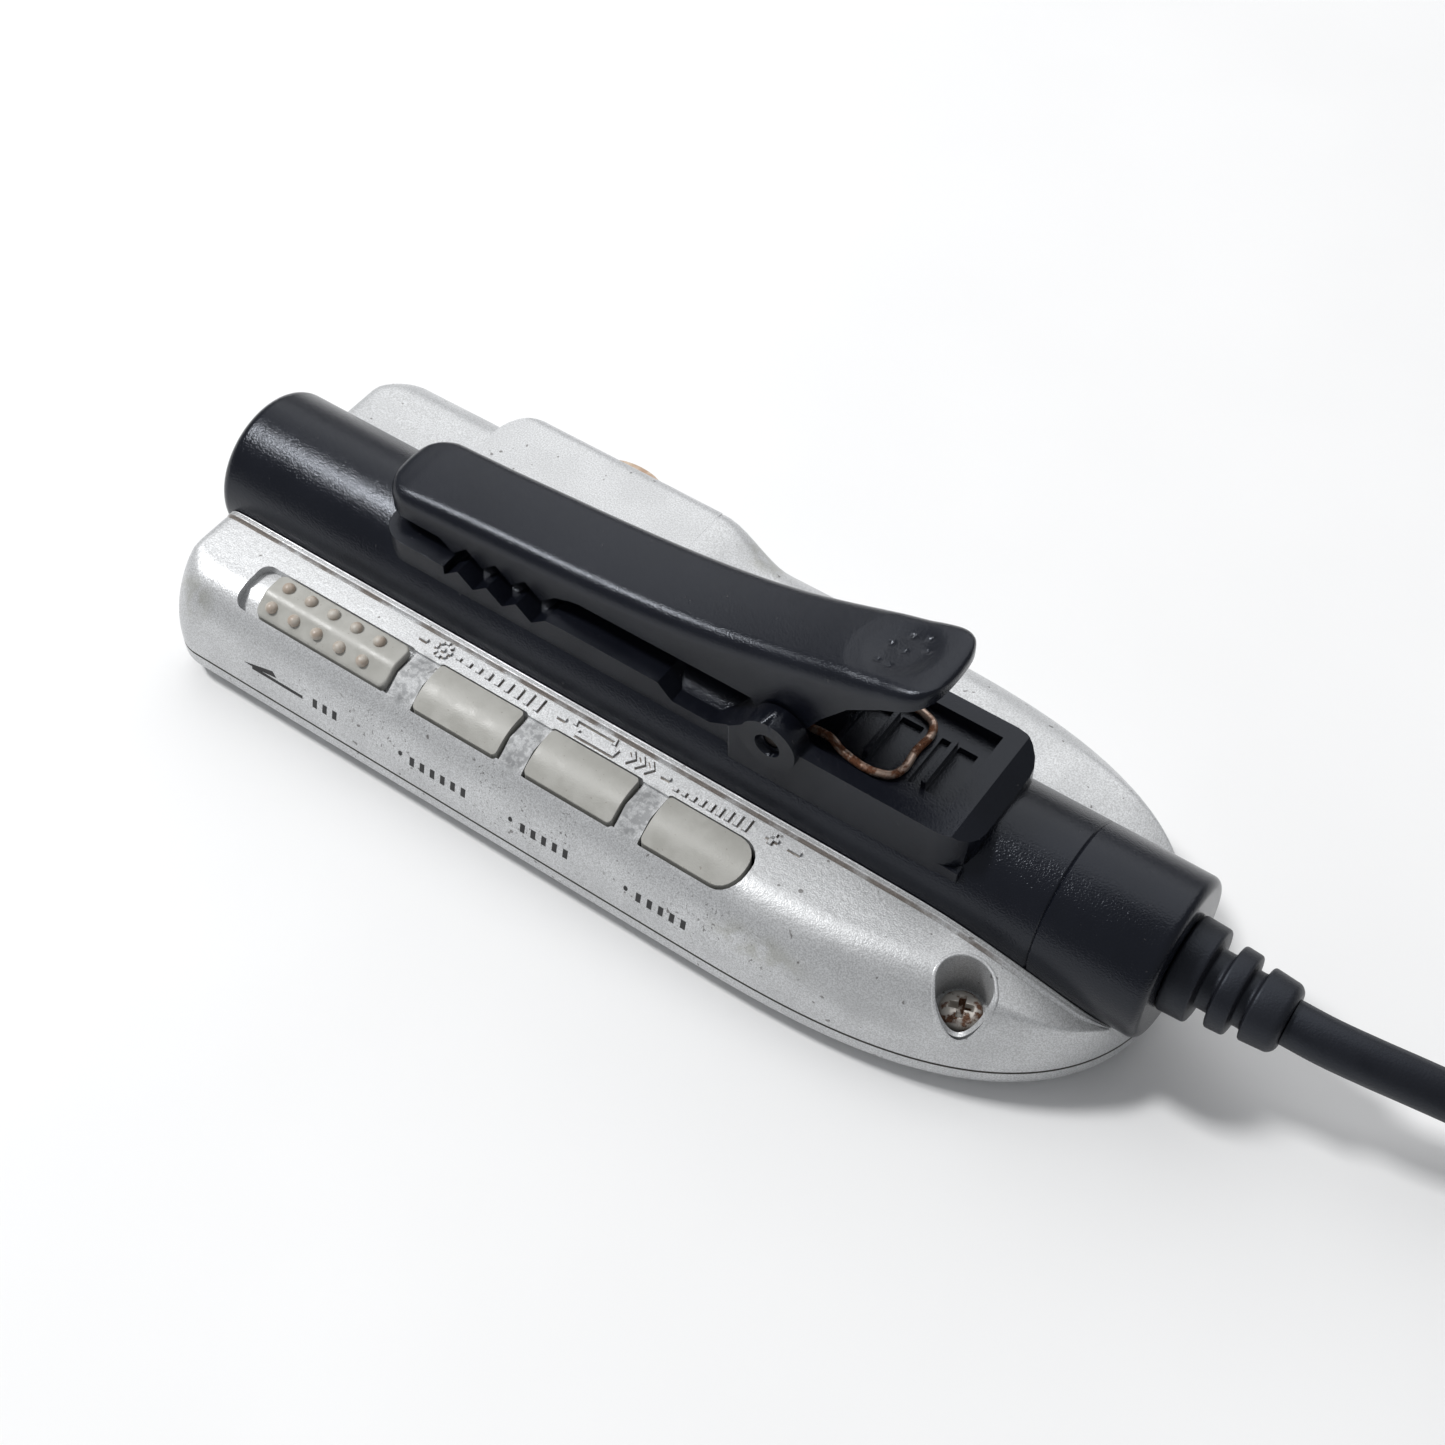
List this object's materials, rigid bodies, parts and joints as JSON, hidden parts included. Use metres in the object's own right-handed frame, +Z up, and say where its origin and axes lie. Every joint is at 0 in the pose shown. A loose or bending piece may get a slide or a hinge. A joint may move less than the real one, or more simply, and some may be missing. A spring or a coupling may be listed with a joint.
{
  "type": "wired remote control",
  "caption": "In-line wired remote control for a portable audio player: slim silver casing with a black barrel, a spring clip for clothing, press keys, a hold slider and a cord with a plug.",
  "frame": {"origin": "on the resting surface, under the middle of the control's box without its cord", "axes": "+X along the barrel towards the cord, +Z up from the display face that it lies on, +Y towards the side with the jog lever"},
  "size_m": [0.1616, 0.0496, 0.0266],
  "materials": {
    "casing_silver": "fine metallic silver paint on moulded plastic, satin, rubbed and specked with dirt",
    "window_smoke": "clear smoked acrylic, polished",
    "lcd_glass": "liquid crystal cell with a grey green ground",
    "guide_white": "milky light guide",
    "board_green": "green solder mask",
    "bright_steel": "plated steel",
    "rusty_steel": "plated steel with brown rust",
    "rusty_spring": "spring wire with copper brown rust",
    "key_grey": "warm grey moulded plastic, satin",
    "switch_black": "black nylon",
    "cream_plastic": "cream plastic with the silver paint worn away",
    "barrel_black": "black moulded plastic, fine satin grain",
    "clip_black": "black moulded plastic, fine grain with polished edges",
    "jack_black": "black moulded plastic",
    "contact_brass": "plated spring brass",
    "cord_rubber": "black satin vinyl",
    "tie_fabric": "black hook and loop strap",
    "plug_black": "black moulded plastic, satin",
    "plug_metal": "gold plated brass with insulating rings"
  },
  "bodies": {
    "housing": {"rear_shell": "casing_silver", "front_shell": "casing_silver", "jog_cover": "casing_silver", "display_window": "window_smoke", "lcd_panel": "lcd_glass", "light_guide": "guide_white", "circuit_board": "board_green", "board_screws": "bright_steel", "case_screw": "rusty_steel", "key_switches": "switch_black", "hold_switch": "switch_black", "jog_switch": "switch_black", "barrel": "barrel_black", "barrel_cap": "barrel_black", "headphone_jack": "jack_black", "jack_contacts": "contact_brass", "clip_base": "clip_black", "clip_pin": "bright_steel", "clip_spring": "rusty_spring", "strain_relief": "cord_rubber", "cord": "cord_rubber", "cord_coil": "cord_rubber", "cord_tail": "cord_rubber", "cord_tie": "tie_fabric", "plug_body": "plug_black", "plug_tip": "plug_metal"},
    "clip_lever": {"clip_lever": "clip_black"},
    "hold_slider": {"hold_slider": "key_grey", "hold_wiper": "switch_black"},
    "display_key": {"display_key": "key_grey"},
    "mode_key": {"mode_key": "key_grey"},
    "sound_key": {"sound_key": "key_grey"},
    "jog_carrier": {"jog_carrier": "switch_black"},
    "jog_lever": {"jog_lever": "cream_plastic"}
  },
  "joints": [
    {"name": "clip_hinge", "type": "hinge", "parent": "housing", "child": "clip_lever", "pos_m": [0.0107, -0.001, 0.0166], "axis": [0, 1, 0], "range_deg": [0, 20], "stiffness_Nm_per_rad": 0.05, "springref_deg": -34.38, "deforming": ["clip_spring"]},
    {"name": "hold_slide", "type": "slide", "parent": "housing", "child": "hold_slider", "axis": [-1, 0, 0], "range_m": [0, 0.00175]},
    {"name": "display_key_press", "type": "slide", "parent": "housing", "child": "display_key", "axis": [0, 0, -1], "range_m": [0, 0.0004], "stiffness_N_per_m": 2000},
    {"name": "mode_key_press", "type": "slide", "parent": "housing", "child": "mode_key", "axis": [0, 0, -1], "range_m": [0, 0.0004], "stiffness_N_per_m": 2000},
    {"name": "sound_key_press", "type": "slide", "parent": "housing", "child": "sound_key", "axis": [0, 0, -1], "range_m": [0, 0.0004], "stiffness_N_per_m": 2000},
    {"name": "jog_press", "type": "slide", "parent": "housing", "child": "jog_carrier", "axis": [0, -1, 0], "range_m": [0, 0.0005], "stiffness_N_per_m": 1500},
    {"name": "jog_rock", "type": "hinge", "parent": "jog_carrier", "child": "jog_lever", "pos_m": [-0.0164, 0.0105, 0.0064], "axis": [0, 0, 1], "range_deg": [-8, 8], "stiffness_Nm_per_rad": 0.01}
  ]
}
